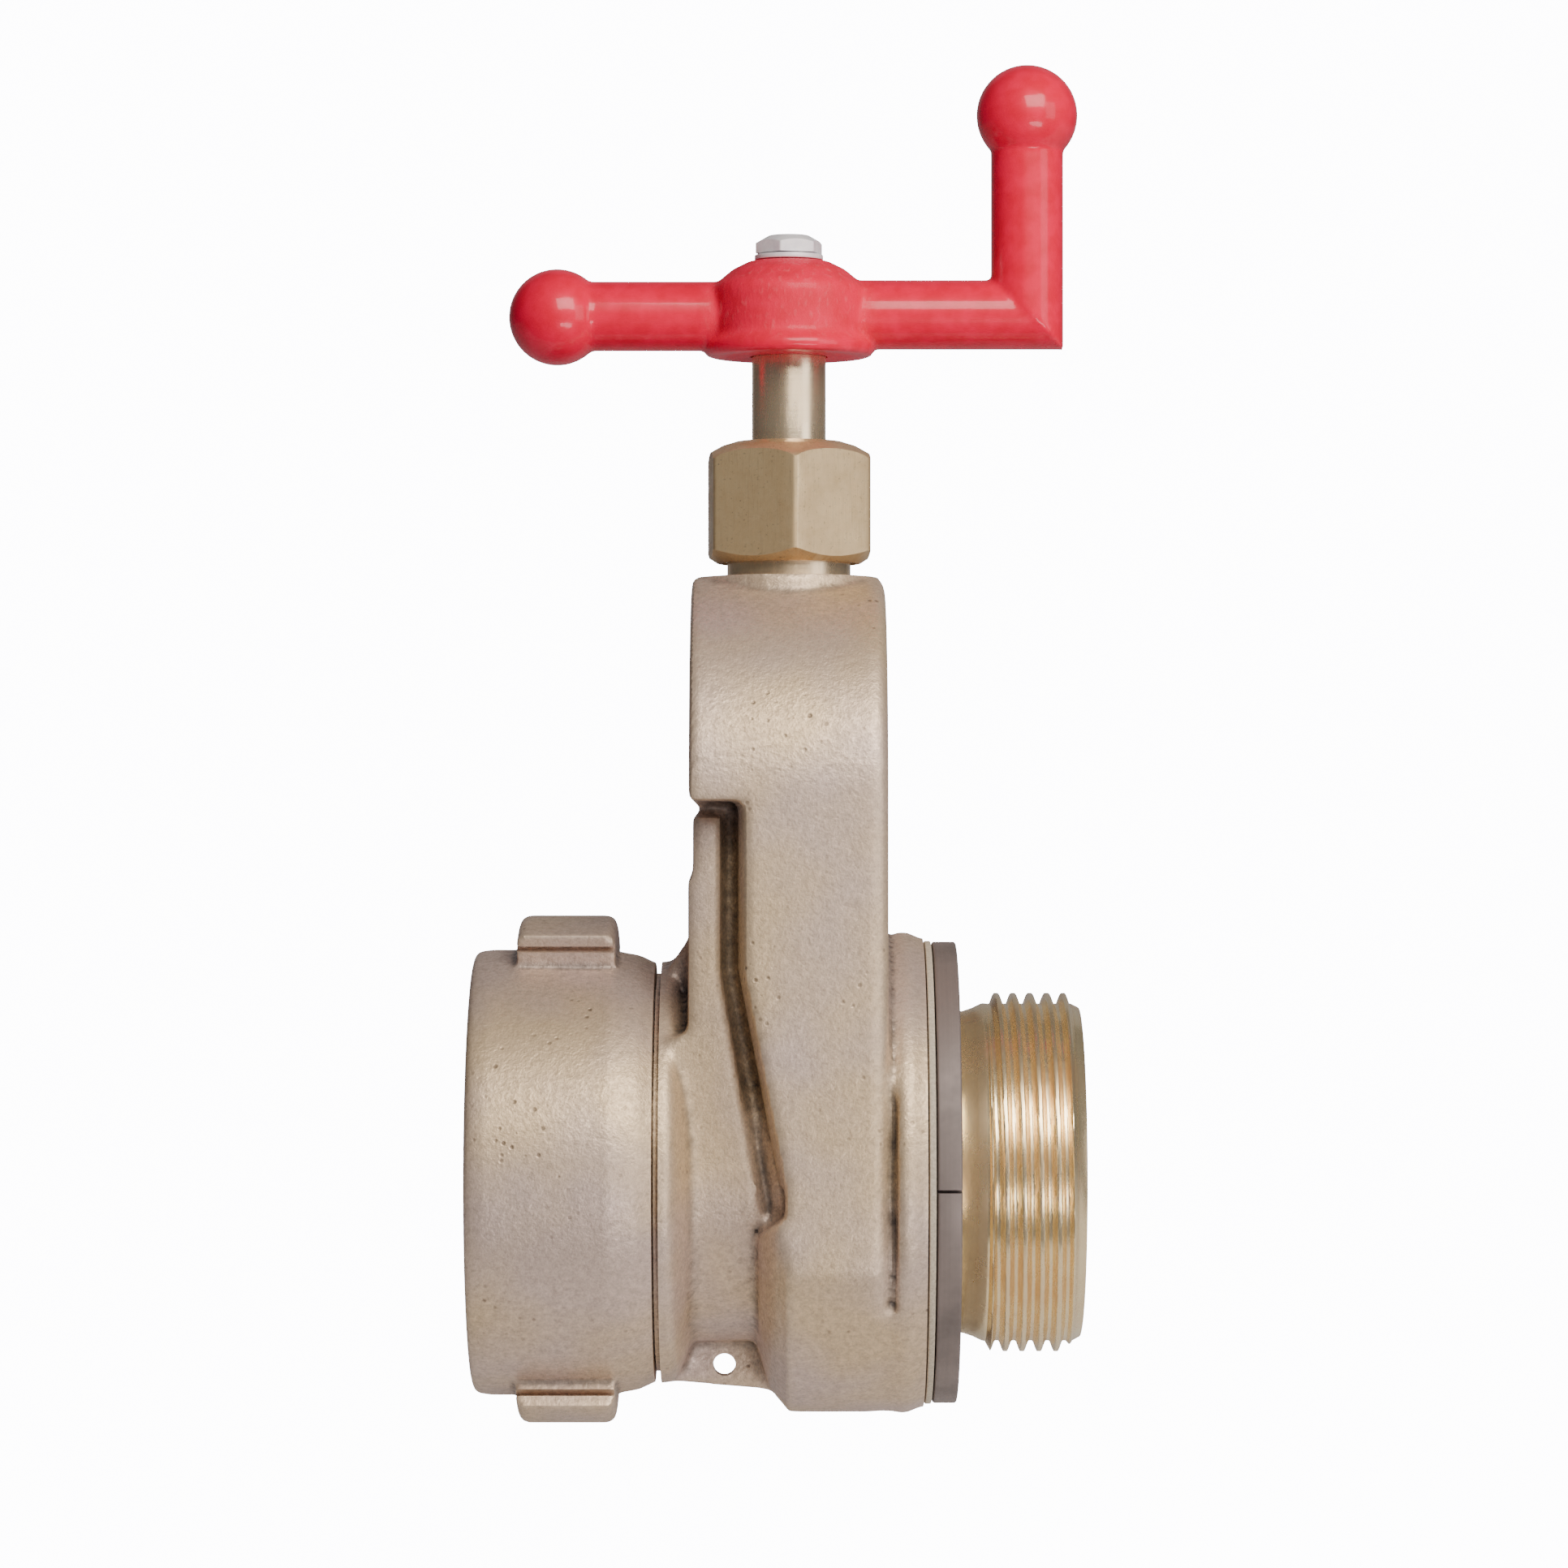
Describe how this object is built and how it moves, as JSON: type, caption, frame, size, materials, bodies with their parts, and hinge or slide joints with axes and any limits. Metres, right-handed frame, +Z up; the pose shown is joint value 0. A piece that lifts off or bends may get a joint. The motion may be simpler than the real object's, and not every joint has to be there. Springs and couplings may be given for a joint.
{
  "type": "hydrant gate valve",
  "caption": "Hose gate valve with a female swivel inlet, a male threaded outlet, a non-rising stem, a lifting gate and a two-ball speed crank.",
  "frame": {"origin": "centre of the inlet's mouth on the waterway's axis", "axes": "+X along the waterway from inlet to outlet, +Z up the stem towards the crank"},
  "size_m": [0.13, 0.1032, 0.2931],
  "materials": {
    "cast_brass": "rough",
    "machined_brass": "polished",
    "nut_brass": "satin",
    "dark_brass": "satin",
    "red_paint": "gloss",
    "steel": "satin",
    "rubber": "matte",
    "packing": "matte",
    "gasket_fibre": "matte"
  },
  "bodies": {
    "body": {"body_casting": "cast_brass", "body_gasket": "gasket_fibre", "gland_follower": "machined_brass", "gland_washer": "steel", "inlet_seat_ring": "machined_brass", "outlet_lock_ring": "dark_brass", "outlet_nipple": "machined_brass", "outlet_seat_ring": "machined_brass", "packing_nut": "nut_brass", "packing_ring_1": "packing", "packing_ring_2": "packing", "packing_ring_3": "packing", "stuffing_box": "machined_brass", "thrust_washer": "steel"},
    "stem": {"stem": "machined_brass", "crank_handle": "red_paint", "lock_washer": "steel", "handle_bolt": "steel"},
    "gate": {"gate": "machined_brass", "stem_nut": "machined_brass"},
    "swivel": {"swivel_coupling": "cast_brass", "swivel_gasket": "rubber", "swivel_wire": "steel", "wire_plug_screw": "steel"}
  },
  "joints": [
    {"name": "stem_turn", "type": "hinge", "parent": "body", "child": "stem", "pos_m": [0.06755, 0, 0.15], "axis": [0, 0, 1], "range_deg": [0, 3852]},
    {"name": "gate_lift", "type": "slide", "parent": "body", "child": "gate", "axis": [0, 0, 1], "range_m": [0, 0.068]},
    {"name": "swivel_spin", "type": "hinge", "parent": "body", "child": "swivel", "pos_m": [0.02, 0, 0], "axis": [1, 0, 0], "continuous": true}
  ],
  "couplings": [
    {"joint": "gate_lift", "follows": "stem_turn", "m_per_rad": 0.0010106}
  ]
}
